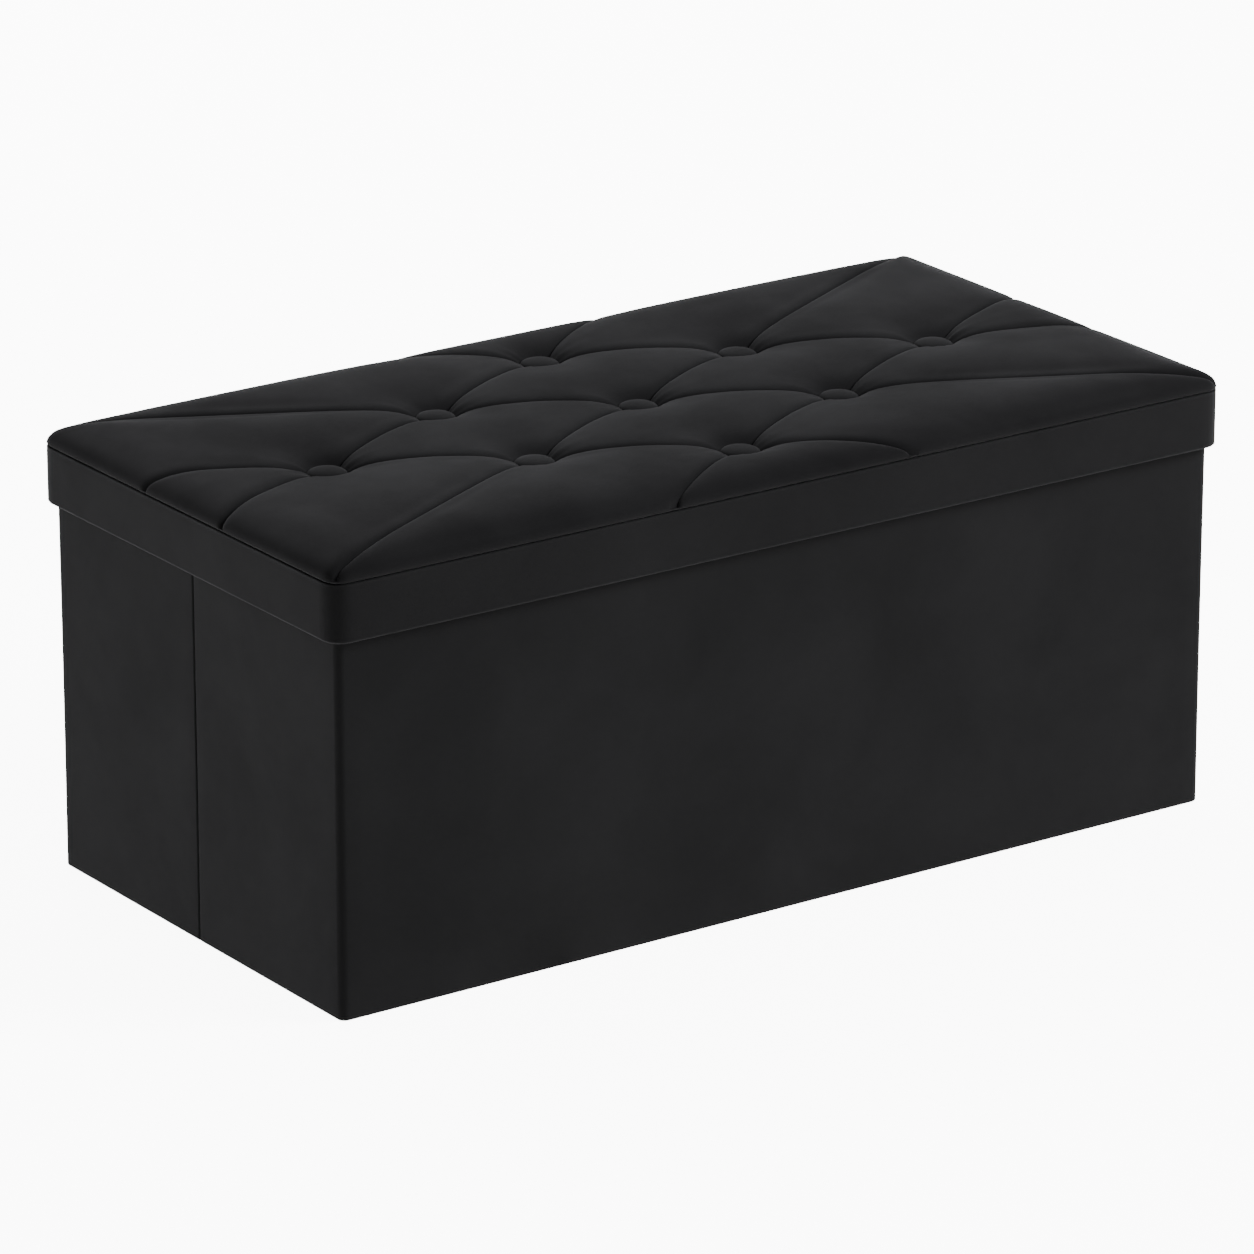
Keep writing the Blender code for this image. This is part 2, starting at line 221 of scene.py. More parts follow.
PUFF_Z = SEAM_Z + 18.5 * MM  # where the puffs level out before they swell
SHOULDER = 10.5 * MM  # how far from a pleat that is
PLEAT_DROP = 3.8 * MM
CROWN_DROP = 1.4 * MM
CROWN_REACH = 34 * MM
PIT_DROP = 5.0 * MM
PIT_REACH = 26 * MM  # a pit is 1/e as deep at this distance from its button
NECK_DROP = 7.2 * MM  # and steeper close to it
NECK_REACH = 10 * MM
GATHER_RISE = 0.45 * MM
GATHERS = 18
BORDER_REACH = 42 * MM
PLEAT_TUCK = 3.0 * MM  # how far a pleat draws the border's cloth in
TUCK_REACH = 4 * MM
EDGE_CURL = 2.0 * MM  # how far the cloth turns in at the seam
END_PLEAT_Y = 50 * MM  # where the outer pleats meet the ends
SIDE_PLEAT_X = 103 * MM  # and the front and back
PATCH_CELLS = 36
SWELL_CELLS = 14
SWELL_FRAMES = 20
SWELL_PRESSURE = 4.0
SWELL_CAP = 3.5 * MM
FOAM_INSET = 5.5 * MM
FOAM_CELLS = 24
FOAM_CLEARANCE = 0.4 * MM
FOAM_GAP = 0.3 * MM  # between the foam and its board
# the cloth's turn under the rim, as insets and heights over the seam
RIM_TURN = [(0.45 * MM, 1.0 * MM), (1.4 * MM, 0.3 * MM), (4.0 * MM, 0.1 * MM)]
WELD = 1e-6


def lattice():
    """The pleats' patches, as four corners each, two of them on the outline past the last buttons.
    A patch with the same button twice is a wedge. Corners run anticlockwise."""
    reach_x, reach_y = np.abs(BUTTONS).max(axis=0)
    at = lambda a, b: (False, np.array([a * reach_x, b * reach_y]) / 2)
    rim = lambda x, y: (True, np.array([x, y]))
    patches = [[at(-1, b - 1), at(0, b - 2), at(1, b - 1), at(0, b)] for b in (0, 2)]
    patches += [[at(a - 2, 0), at(a - 1, -1), at(a, 0), at(a - 1, 1)] for a in (0, 2)]
    patches += [[at(0, 2 * s), at(0, 2 * s), rim(-SIDE_PLEAT_X, s * HALF_Y),
                 rim(SIDE_PLEAT_X, s * HALF_Y)] for s in (-1, 1)]
    patches += [[at(2 * s, 0), at(2 * s, 0), rim(s * HALF_X, -END_PLEAT_Y),
                 rim(s * HALF_X, END_PLEAT_Y)] for s in (-1, 1)]
    drawn = LID_CORNER * (1 - math.sqrt(0.5))
    for a in (-1, 1):
        for b in (-1, 1):
            corner = rim(a * (HALF_X - drawn), b * (HALF_Y - drawn))
            patches.append([at(a, b), at(0, 2 * b), rim(a * SIDE_PLEAT_X, b * HALF_Y), corner])
            patches.append([at(a, b), at(2 * a, 0), rim(a * HALF_X, b * END_PLEAT_Y), corner])
    return [patch if turns_left(patch) else [patch[k] for k in (1, 0, 3, 2)] for patch in patches]


def turns_left(patch):
    places = np.array([place for _, place in patch])
    following = np.roll(places, -1, axis=0)
    return np.sum(places[:, 0] * following[:, 1] - places[:, 1] * following[:, 0]) > 0


PATCHES = lattice()


def pleat_lines():
    """Each pleat once, as its two ends: every patch edge but those along the outline."""
    found = {}
    for patch in PATCHES:
        for (on_rim, a), (next_on_rim, b) in zip(patch, patch[1:] + patch[:1]):
            if not (on_rim and next_on_rim) and np.hypot(*(a - b)) > MM:
                found[tuple(sorted((tuple(np.round(a, 5)), tuple(np.round(b, 5)))))] = (a, b)
    return list(found.values())


PLEATS = pleat_lines()


def nearest_pleat(x, y):
    """Distance to the nearest pleat, each a straight segment in plan."""
    nearest = np.full(np.shape(x), 1.0)
    for a, b in PLEATS:
        way = b - a
        share = np.clip(((x - a[0]) * way[0] + (y - a[1]) * way[1]) / (way @ way), 0, 1)
        nearest = np.minimum(nearest, np.hypot(x - a[0] - share * way[0], y - a[1] - share * way[1]))
    return nearest


def nearest_button(x, y):
    """Distance to the nearest button, and the direction from it."""
    from_each = np.stack([x - BUTTONS[:, 0].reshape(-1, *[1] * np.ndim(x)),
                          y - BUTTONS[:, 1].reshape(-1, *[1] * np.ndim(x))], axis=-1)
    distance = np.hypot(from_each[..., 0], from_each[..., 1])
    chosen = np.argmin(distance, axis=0)
    way = np.take_along_axis(from_each, chosen[None, ..., None], axis=0)[0]
    return distance.min(axis=0), np.arctan2(way[..., 1], way[..., 0])


def cushion_height(x, y):
    """Height of the tufted cloth before it swells. From the puffs' level it takes a quarter-circle
    shoulder and a fading crown at the pleats, and at each button a pit that fades exponentially
    and has small gathers round it. At the border a quarter ellipse brings it down to the seam,
    starting further in where a pleat tucks the cloth under."""
    pleat = nearest_pleat(x, y)
    button, direction = nearest_button(x, y)
    near = 1 - np.clip(pleat / SHOULDER, 0, 1)
    shoulder = PLEAT_DROP * (1 - np.sqrt(1 - near ** 2))
    crown = CROWN_DROP * np.exp(-pleat / CROWN_REACH)
    beyond = np.maximum(button - 0.8 * BUTTON_RADIUS, 0)
    pit = PIT_DROP * np.exp(-beyond / PIT_REACH) + NECK_DROP * np.exp(-beyond / NECK_REACH)
    gathers = GATHER_RISE * np.exp(-beyond / (0.6 * PIT_REACH)) * np.cos(GATHERS * direction)
    top = PUFF_Z - shoulder - crown - pit + gathers
    tuck = PLEAT_TUCK * np.clip(1 - pleat / TUCK_REACH, 0, 1) ** 2
    border = 1 - np.clip((inside_distance(x, y) - tuck) / BORDER_REACH, 0, 1)
    foot = SEAM_Z + EDGE_CURL
    return foot + (top - foot) * np.sqrt(1 - border ** 2)


def gathered(count, pull=0.86):
    """Shares from 0 to 1, closer together at both ends."""
    share = np.linspace(0, 1, count + 1)
    return share - pull * np.sin(2 * math.pi * share) / (2 * math.pi)


def rim_run(start, end, shares):
    """Points of the outline between two of its points, the short way round."""
    turns = np.linspace(0, 1, 7200, endpoint=False)
    outline = outline_point(turns)
    first, last = (turns[np.argmin(np.hypot(*(outline - place).T))] for place in (start, end))
    way = (last - first + 0.5) % 1.0 - 0.5
    return outline_point(first + way * shares)


def patch_plan(patch, shares):
    """A patch in plan, its four edges blended as a Coons patch: the two ruled surfaces between
    facing edges added, less the bilinear surface of the corners."""
    (_, a), (_, b), (_, c), (on_rim, d) = patch
    s, t = shares[None, :, None], shares[:, None, None]
    line = lambda p, q: p + (q - p) * shares[:, None]
    far = rim_run(d, c, shares) if on_rim else line(d, c)
    ruled = (1 - t) * line(a, b)[None] + t * far[None]
    ruled = ruled + (1 - s) * line(a, d)[:, None] + s * line(b, c)[:, None]
    return ruled - ((1 - s) * (1 - t) * a + s * (1 - t) * b + s * t * c + (1 - s) * t * d)


def patch_grid(patch, shares):
    plan = patch_plan(patch, shares)
    return np.dstack([plan, cushion_height(plan[..., 0], plan[..., 1])])


def cubic_weights(shares, cells):
    """What each of some evenly spaced values adds at each share of the way: the cubic through four
    neighbours (Catmull-Rom), with the end values doubled."""
    place = np.clip(shares * cells, 0, cells - 1e-9)
    cell = np.floor(place).astype(int)
    u = place - cell
    parts = [(2 * u ** 2 - u - u ** 3) / 2, (2 - 5 * u ** 2 + 3 * u ** 3) / 2,
             (u + 4 * u ** 2 - 3 * u ** 3) / 2, (u ** 3 - u ** 2) / 2]
    weights = np.zeros((len(shares), cells + 1))
    for step, part in enumerate(parts):
        np.add.at(weights, (np.arange(len(shares)), np.clip(cell + step - 1, 0, cells)), part)
    return weights


def simulated_swelling():
    """How far each patch's cloth swells under pressure, by cloth simulation on evenly cut patches
    that are pinned along the pleats and the rim. The foam's reach caps it."""
    shares = np.linspace(0, 1, SWELL_CELLS + 1)
    grids = np.array([patch_grid(patch, shares) for patch in PATCHES])
    every = grids.reshape(-1, 3)
    _, first, place = np.unique(np.floor(every[:, :2] / WELD + 0.31).astype(np.int64), axis=0,
                                return_index=True, return_inverse=True)
    place = place.ravel()
    faces = [list(dict.fromkeys(face)) for face in place[joined_faces(list(grids))].tolist()]
    mesh = bpy.data.meshes.new("swelling")
    mesh.from_pydata(every[first].tolist(), [], [face for face in faces if len(face) > 2])
    edge = np.zeros(grids.shape[:3], dtype=bool)
    edge[:, [0, -1], :] = True
    edge[:, :, [0, -1]] = True
    item = bpy.data.objects.new("swelling", mesh)
    bpy.context.scene.collection.objects.link(item)
    item.vertex_groups.new(name="pinned").add(np.unique(place[edge.ravel()]).tolist(), 1.0, "REPLACE")
    cloth = item.modifiers.new("swell", "CLOTH")
    cloth.settings.use_pressure = True
    cloth.settings.uniform_pressure_force = SWELL_PRESSURE
    cloth.settings.vertex_group_mass = "pinned"
    cloth.settings.effector_weights.gravity = 0.0
    cloth.point_cache.frame_end = SWELL_FRAMES
    for step in range(1, SWELL_FRAMES + 1):
        bpy.context.scene.frame_set(step)
    swollen = item.evaluated_get(bpy.context.evaluated_depsgraph_get()).data
    after = np.empty(len(swollen.vertices) * 3)
    swollen.vertices.foreach_get("co", after)
    moved = after.reshape(-1, 3)[place] - every[first][place]
    bpy.data.objects.remove(item)
    bpy.data.meshes.remove(mesh)
    bpy.context.scene.frame_set(1)
    reach = np.linalg.norm(moved, axis=1, keepdims=True) + WELD
    return (moved * np.tanh(reach / SWELL_CAP) * SWELL_CAP / reach).reshape(grids.shape)


def swollen_grids(swelling, cells):
    """The patches' fine grids, raised by the swelling carried over by cubic weights."""
    shares = gathered(cells)
    weights = cubic_weights(shares, SWELL_CELLS)
    return [patch_grid(patch, shares) + np.einsum("ia,jb,abk->ijk", weights, weights, lift)
            for patch, lift in zip(PATCHES, swelling)]


def rim_strips(grids, turns):
    """Strips that carry on the rim's edge of each outer patch, by (inset, height) pairs."""
    strips = []
    for patch, grid in zip(PATCHES, grids):
        if patch[3][0]:
            edge = grid[-1]
            rows = [edge] + [np.column_stack([drawn_in(edge[:, :2], inset, HALF_X, HALF_Y, LID_CORNER),
                                              np.full(len(edge), height)]) for inset, height in turns]
            strips.append(np.array(rows))
    return strips


def make_cushion(swelling):
    grids = swollen_grids(swelling, PATCH_CELLS)
    strips = rim_strips(grids, [(inset, SEAM_Z + height) for inset, height in RIM_TURN])
    cloth = surface_object("cushion_cloth", grids + strips, merge=2e-5, thick=VELVET_THICK, sharp=75)
    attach(cloth, "lid")
    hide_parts("cushion_cover")
    return cloth


def make_foam():
    """The foam under the cloth: the same patches lower, by more near buttons (a bell curve of the
    distance), near pleats (another) and near the rim, where they are also drawn in. Straight
    walls and a flat bottom close it."""
    grids = []
    for grid in (patch_grid(patch, gathered(FOAM_CELLS)) for patch in PATCHES):
        button, _ = nearest_button(grid[..., 0], grid[..., 1])
        pleat = nearest_pleat(grid[..., 0], grid[..., 1])
        rim = np.clip(1 - inside_distance(grid[..., 0], grid[..., 1]) / LID_CORNER, 0, 1)
        fall = (VELVET_THICK + FOAM_CLEARANCE + 2.5 * MM * np.exp(-(button / (1.5 * BUTTON_RADIUS)) ** 2)
                + 1.0 * MM * np.exp(-(pleat / (5 * MM)) ** 2) + 1.0 * MM * rim)
        plan = drawn_in(grid[..., :2], FOAM_INSET, HALF_X, HALF_Y, LID_CORNER)
        grids.append(np.dstack([plan, np.maximum(grid[..., 2] - fall, BOARD_TOP + 2 * FOAM_GAP)]))
    bottom = BOARD_TOP + FOAM_GAP
    strips = []
    for strip in rim_strips(grids, []):
        below = strip[0] * [1, 1, 0] + [0, 0, bottom]
        strips.append(np.array([strip[0], below, below * [0.5, 0.5, 1], below * [0, 0, 1]]))
    foam = surface_object("foam_core", grids + strips, inside=(0, 0, BOARD_TOP), merge=2e-5)
    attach(foam, "lid")
    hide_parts("foam_pad")
    return foam


# ---------------------------------------------------------------- buttons

BUTTON_DOME = 4.6 * MM
BUTTON_SINK = 0.6 * MM  # how far the twine draws it into the pit
BUTTON_SIDES = 48
BUTTON_FLOOR = 1.2 * MM  # how far its underside lies below its rim
TWINE_RADIUS = 0.8 * MM
TWINE_TURNS = 5


def turned_grid(radii, heights, sides, centre):
    """A profile turned about an upright axis."""
    turn = np.linspace(0, 2 * math.pi, sides, endpoint=False)
    return np.stack([centre[0] + radii[:, None] * np.cos(turn),
                     centre[1] + radii[:, None] * np.sin(turn),
                     np.repeat(heights[:, None], sides, axis=1)], axis=-1)


def make_buttons():
    """A covered button: half an ellipse over a rolled rim, with the cloth gathered underneath."""
    rim_z = BUTTON_HIGH.z - BUTTON_SINK - BUTTON_DOME
    angle = np.linspace(0, math.pi / 2, 14)
    roll = np.radians(np.linspace(15, 165, 8))
    radii = np.concatenate([BUTTON_RADIUS * np.sin(angle),
                            BUTTON_RADIUS - 1.1 * MM * (1 - np.cos(roll)), [2 * MM, 0.0]])
    heights = np.concatenate([rim_z + BUTTON_DOME * np.cos(angle), rim_z - 1.6 * MM * np.sin(roll / 2),
                              [rim_z - 1.4 * MM, rim_z - BUTTON_FLOOR]])
    made = []
    for node, place in zip(BUTTON_NODES, BUTTONS):
        grid = turned_grid(radii, heights, BUTTON_SIDES, place)
        item = surface_object("covered_" + node, [grid], inside=(*place, rim_z), around=True)
        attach(item, "lid")
        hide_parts(node)
        made.append(item)
    return made


def make_twines():
    """The twine that pulls each button down: a three-lobed section that turns as it rises."""
    low, high = BUTTON_LOW.z, BUTTON_HIGH.z - BUTTON_SINK - BUTTON_DOME - BUTTON_FLOOR
    made = []
    for number, place in enumerate(BUTTONS, start=1):
        rise = np.linspace(0, 1, 40)[:, None]
        turn = np.linspace(0, 2 * math.pi, 18, endpoint=False)[None, :]
        lobes = 1 + 0.18 * np.cos(3 * (turn - 2 * math.pi * TWINE_TURNS * rise))
        radius = TWINE_RADIUS * lobes * (np.minimum(rise, 1 - rise) > 0)
        grid = np.stack([place[0] + radius * np.cos(turn), place[1] + radius * np.sin(turn),
                         low + (high - low) * rise + 0 * turn], axis=-1)
        item = surface_object(f"twine_{number}", [grid], inside=(*place, (low + high) / 2), around=True)
        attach(item, "lid")
        made.append(item)
    return made


# ---------------------------------------------------------------- skirt

def make_skirt():
    """The skirt's section carried round the lid: a bead at the seam, a face set back a little, a
    rolled hem and the inner side. At each inset the outline is drawn in."""
    bead, hem = 0.9 * MM, 2.4 * MM
    back = 0.05 * MM
    top, bottom = SEAM_Z, SKIRT_BOTTOM
    face_top, face_bottom = top - 3.2 * bead, bottom + 1.8 * hem
    shares = np.linspace(0, 1, 10)
    section = np.concatenate([
        [(5 * bead, top - 0.6 * MM), (2.2 * bead, top - 0.4 * MM)],
        arc((bead, top - bead), bead, 90, 215),
        np.column_stack([np.full(10, back), face_top + (face_bottom - face_top) * shares]),
        arc((hem, bottom + hem), hem, 165, 270),
        arc((SKIRT_DEPTH - hem, bottom + hem), hem, 270, 360),
        np.column_stack([np.full(4, SKIRT_DEPTH),
                         np.linspace(bottom + 2 * hem, LID_LINING_Z - 0.5 * MM, 4)])])
    outline = outline_point(np.arange(420) / 420)
    grid = np.array([np.column_stack([drawn_in(outline, inset, HALF_X, HALF_Y, LID_CORNER),
                                      np.full(len(outline), height)]) for inset, height in section])
    skirt = surface_object("skirt_cloth", [grid], inside=(0, 0, SEAM_Z - 20 * MM), around=True,
                           thick=VELVET_THICK)
    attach(skirt, "lid")
    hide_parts("skirt_cover")
    return skirt


# ---------------------------------------------------------------- the box's cloths

TURN_OVER = 26 * MM  # how far the velvet comes down inside
TURN_OVER_RISE = 0.7 * MM
EDGE_ROUND = 1.5 * MM
TOP_ROUND = 2.6 * MM
CLOTH_WAVE = 0.14 * MM
SPLIT_X = BODY_X - 17 * MM  # where the corner cloths join the front's and the back's
OPEN_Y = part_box("right_rear_cover")[1].y  # where the open corner is parted
OPEN_GAP = 0.4 * MM
OPEN_ROUND = 0.9 * MM


def wall_section():
    """The cloth's section up a wall, as insets and heights: under the bottom edge, up the face,
    over the top and down the inside, with an arc at each edge."""
    inner = WALL_DEPTH + TURN_OVER_RISE
    hem = WALL_HEIGHT - TURN_OVER
    return np.concatenate([
        [(8 * MM, 0.0)], arc((EDGE_ROUND, EDGE_ROUND), EDGE_ROUND, 270, 180),
        np.column_stack([np.zeros(22), np.linspace(8 * MM, WALL_HEIGHT - 8 * MM, 22)]),
        arc((TOP_ROUND, WALL_HEIGHT - TOP_ROUND), TOP_ROUND, 180, 90),
        arc((inner - 2 * MM, WALL_HEIGHT - 2 * MM), 2 * MM, 90, 0),
        np.column_stack([np.full(4, inner), np.linspace(WALL_HEIGHT - 6 * MM, hem, 4)]),
        arc((inner - 0.5 * MM, hem), 0.5 * MM, 0, -80, 4)])


def wall_cloth(name, corners, radii, nodes, body=None):
    """A wall's cloth: its section carried along a path in plan, each point drawn in by the
    section's inset. The face waves by a sum of sines of the way along and up."""
    path = rounded_path(corners, radii, 12 * MM)
    section = wall_section()
    inset = np.repeat(section[:, :1], len(path), axis=1)
    height = np.repeat(section[:, 1:], len(path), axis=1)
    along = np.concatenate([[0.0], np.cumsum(np.hypot(*np.diff(path, axis=0).T))])[None, :]
    wave = (np.sin(along / 0.037 + height / 0.061) + np.sin(along / 0.083 - height / 0.045)
            + np.sin(height / 0.052 + 1.3) + 3) * np.sin(math.pi * height / WALL_HEIGHT) ** 2
    ends = np.clip(np.minimum(along, along[0, -1] - along) / (25 * MM), 0, 1)
    inset = inset + CLOTH_WAVE * wave * ends * (inset < MM / 10)
    grid = np.dstack([drawn_in(np.repeat(path[None], len(section), axis=0), inset, BODY_X, BODY_Y,
                               BODY_CORNER), height])
    item = surface_object(name, [grid], inside=(0, 0, WALL_HEIGHT / 2), thick=VELVET_THICK)
    if body:
        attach(item, body)
    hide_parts(*nodes)
    return item


def make_wall_cloths():
    """Six cloths round the box. Those at the front corners and the left rear corner wrap round
    the joint there and are left on no body, and the right rear corner is split, where the linkage is
    open."""
    depth = WALL_DEPTH - 0.4 * MM
    gap = SEAM_HALF_GAP
    made = [wall_cloth("front_wall_cloth", [(-SPLIT_X, -BODY_Y), (SPLIT_X, -BODY_Y)], [],
                       ["front_wall_cover"], "front_wall"),
            wall_cloth("back_wall_cloth", [(-SPLIT_X, BODY_Y), (BODY_X, BODY_Y),
                                           (BODY_X, OPEN_Y + OPEN_GAP),
                                           (BODY_X - depth, OPEN_Y + OPEN_GAP)],
                       [BODY_CORNER, OPEN_ROUND], ["back_wall_cover"], "back_wall"),
            wall_cloth("right_rear_cloth", [(BODY_X - depth, OPEN_Y), (BODY_X, OPEN_Y),
                                            (BODY_X, gap), (BODY_X - depth, gap)],
                       [OPEN_ROUND, EDGE_ROUND], ["right_rear_cover"], "right_rear_panel")]
    for name, a, b, first, second in (
            ("left_front", -1, -1, "front_wall", "left_front_panel"),
            ("right_front", 1, -1, "front_wall", "right_front_panel"),
            ("left_rear", -1, 1, "left_rear_panel", "back_wall")):
        item = wall_cloth(name + "_cloth", [(a * SPLIT_X, b * BODY_Y), (a * BODY_X, b * BODY_Y),
                                            (a * BODY_X, b * gap), (a * (BODY_X - depth), b * gap)],
                          [BODY_CORNER, EDGE_ROUND], [name + "_cover"])
        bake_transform(item)
        made.append(item)
    return made


STRIP_HALF = 1.6 * MM
STRIP_DEPTH = 1.8 * MM
STRIP_BOW = 0.3 * MM


def make_fold_strips():
    """The strip of velvet that hinges each end's two halves, behind its seam: flat up the end, and
    across it a parabola whose edges lie deepest."""
    made = []
    half = STRIP_HALF
    for name, a in (("left", -1), ("right", 1)):
        y = np.linspace(-half, half, 9)
        x = a * (BODY_X - STRIP_DEPTH - STRIP_BOW * (y / half) ** 2)
        z = np.linspace(1.5 * MM, WALL_HEIGHT - 1.0 * MM, 40)
        grid = np.stack([np.repeat(x[:, None], len(z), axis=1), np.repeat(y[:, None], len(z), axis=1),
                         np.repeat(z[None, :], len(y), axis=0)], axis=-1)
        item = surface_object(name + "_fold_strip", [grid], thick=0.6 * MM)
        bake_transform(item)
        made.append(item)
    return made


# ---------------------------------------------------------------- linings

def lining_sheet(name, corners, behind, thick=LINING_THICK):
    """A sheet of lining between four corners, by straight lines between two facing edges. It
    waves by a sum of sines and is drawn down to its board along its edges."""
    a, b, c, d = (np.array(corner, dtype=float) for corner in corners)
    across, up = np.linalg.norm(b - a), np.linalg.norm(d - a)
    s = np.linspace(0, 1, max(12, int(across / (9 * MM))))[None, :, None]
    t = np.linspace(0, 1, max(12, int(up / (9 * MM))))[:, None, None]
    flat = (1 - t) * ((1 - s) * a + s * b) + t * ((1 - s) * d + s * c)
    normal = np.cross(b - a, d - a)
    normal = normal / np.linalg.norm(normal)
    normal = normal * np.sign(normal @ ((a + c) / 2 - np.array(behind)))
    x, y = s * across / MM, t * up / MM
    wave = np.sin(x / 21 + y / 57) + np.sin(y / 26 - x / 71 + 1) + np.sin((x + y) / 17)
    edge = np.clip(np.minimum(np.minimum(s, 1 - s) * across, np.minimum(t, 1 - t) * up) / (3 * MM), 0, 1)
    fall = 0.05 * MM * (wave + 3) * edge + 0.3 * MM * (1 - edge)
    return surface_object(name, [flat - normal * fall], inside=behind, thick=thick)


def box_face(node, axis, side, top=None):
    """The four corners of one face of a node's box."""
    low, high = (list(corner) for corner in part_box(node))
    if top is not None:
        high[2] = top
    level = high[axis] if side > 0 else low[axis]
    one, two = (k for k in range(3) if k != axis)
    corners = []
    for first, second in ((low, low), (high, low), (high, high), (low, high)):
        corner = [0.0, 0.0, 0.0]
        corner[axis], corner[one], corner[two] = level, first[one], second[two]
        corners.append(tuple(corner))
    return corners


def finish_lining(item, node, body):
    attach(item, body)
    if node:
        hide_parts(node)
    return item


def make_linings():
    made = []
    top = WALL_HEIGHT - 0.5 * TURN_OVER
    walls = [("front_wall", 1, 1, "front_wall"), ("back_wall", 1, -1, "back_wall"),
             ("left_front", 0, 1, "left_front_panel"), ("left_rear", 0, 1, "left_rear_panel"),
             ("right_front", 0, -1, "right_front_panel"), ("right_rear", 0, -1, "right_rear_panel")]
    for name, axis, side, body in walls:
        node = name + "_lining"
        corners = box_face(node, axis, side, top)
        behind = list(corners[0])
        behind[axis] -= side
        item = lining_sheet(name + "_inner_cloth", corners, behind)
        made.append(finish_lining(item, node, body))
    corners = box_face("lid_lining", 2, -1)
    item = lining_sheet("lid_inner_cloth", corners, (0, 0, 1))
    made.append(finish_lining(item, "lid_lining", "lid"))
    for name, side in (("front_base", -1), ("rear_base", 1)):
        low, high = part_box(name + "_lining")
        hinge_y, free_y = (low.y, high.y) if side < 0 else (high.y, low.y)
        reach = abs(hinge_y - free_y)
        corners = [(-high.x, hinge_y, LEAF_TOP), (high.x, hinge_y, LEAF_TOP),
                   (high.x - reach, free_y, LEAF_TOP), (reach - high.x, free_y, LEAF_TOP)]
        item = lining_sheet(name + "_inner_cloth", corners, (0, 0, -1))
        made.append(finish_lining(item, name + "_lining", name + "_leaf"))
    return made


UNDER_BOARDS = Vector((1.3 * MM, 3.6 * MM, 0.0))  # how far the underside's cloth passes its node
UNDERSIDE_Z = 0.92 * MM
UNDERSIDE_THICK = 0.25 * MM


def make_bottom_cloth():
    """The thin cloth under the box, drawn tight under the boards' edges."""
    low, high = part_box("bottom_cloth")
    low, high = low - UNDER_BOARDS, high + UNDER_BOARDS
    corners = [(low.x, low.y, UNDERSIDE_Z), (high.x, low.y, UNDERSIDE_Z),
               (high.x, high.y, UNDERSIDE_Z), (low.x, high.y, UNDERSIDE_Z)]
    item = lining_sheet("underside_cloth", corners, (0, 0, 1), thick=UNDERSIDE_THICK)
    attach(item, "front_wall")
    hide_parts("bottom_cloth")
    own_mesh(item)
    return item


def make_ribbon():
    """The pull ribbon: a strip with corded edges, lying flat, its two ends turned under."""
    low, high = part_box("base_pull_ribbon")
    s, t = np.linspace(-1, 1, 61)[None, :], np.linspace(-1, 1, 21)[:, None]
    rise = 0.12 * MM * (np.abs(t) > 0.88) + 0.10 * MM * (np.abs(s) > 0.75) + 0 * s
    x = (low.x + high.x) / 2 + s * (high.x - low.x) / 2 + 0 * t
    y = (low.y + high.y) / 2 + t * (high.y - low.y) / 2 + 0 * s
    grid = np.stack([x, y, high.z - 0.22 * MM + rise], axis=-1)
    item = surface_object("pull_ribbon", [grid], inside=(0, 0, -1), thick=0.5 * MM)
    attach(item, "front_base_leaf")
    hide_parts("base_pull_ribbon")
    return item


# ---------------------------------------------------------------- materials

def linear(hex_colour):
    """An sRGB hex colour as linear RGBA."""
    parts = [int(hex_colour[i:i + 2], 16) / 255 for i in (1, 3, 5)]
    return [p / 12.92 if p <= 0.04045 else ((p + 0.055) / 1.055) ** 2.4 for p in parts] + [1.0]


def per(length):
    """The texture scale at which one feature is about this long, in millimetres."""
    return 1 / (length * MM)


def add_node(tree, kind, settings=None, inputs=None, ramp=None):
    """Adds a node with its settings, its inputs (values, or a node and its output) and, on a
    colour ramp, its stops."""
    node = tree.nodes.new(kind)
    for name, value in (settings or {}).items():
        setattr(node, name, value)
    for name, value in (inputs or {}).items():
        if isinstance(value, tuple) and isinstance(value[0], bpy.types.Node):
            tree.links.new(value[0].outputs[value[1]], node.inputs[name])
        else:
            node.inputs[name].default_value = value
    for index, (place, colour) in enumerate(ramp or []):
        element = node.color_ramp.elements[index]
        element.position, element.color = place, linear(colour)
    return node


def new_material(name, **sockets):
    """A material whose Principled shader has these constants on its sockets."""
    made = bpy.data.materials.new(name)
    made.use_nodes = True
    shader = made.node_tree.nodes["Principled BSDF"]
    for socket, value in sockets.items():
        shader.inputs[socket.replace("_", " ")].default_value = value
    return made, made.node_tree, shader


def set_surface(tree, shader, colour, height, depth, strength=1.0):
    """Gives the shader its colour and a bump as deep as the real relief, in millimetres."""
    bump = add_node(tree, "ShaderNodeBump", inputs={"Height": height, "Strength": strength,
                                                    "Distance": depth * MM})
    tree.links.new(colour[0].outputs[colour[1]], shader.inputs["Base Color"])
    tree.links.new(bump.outputs["Normal"], shader.inputs["Normal"])


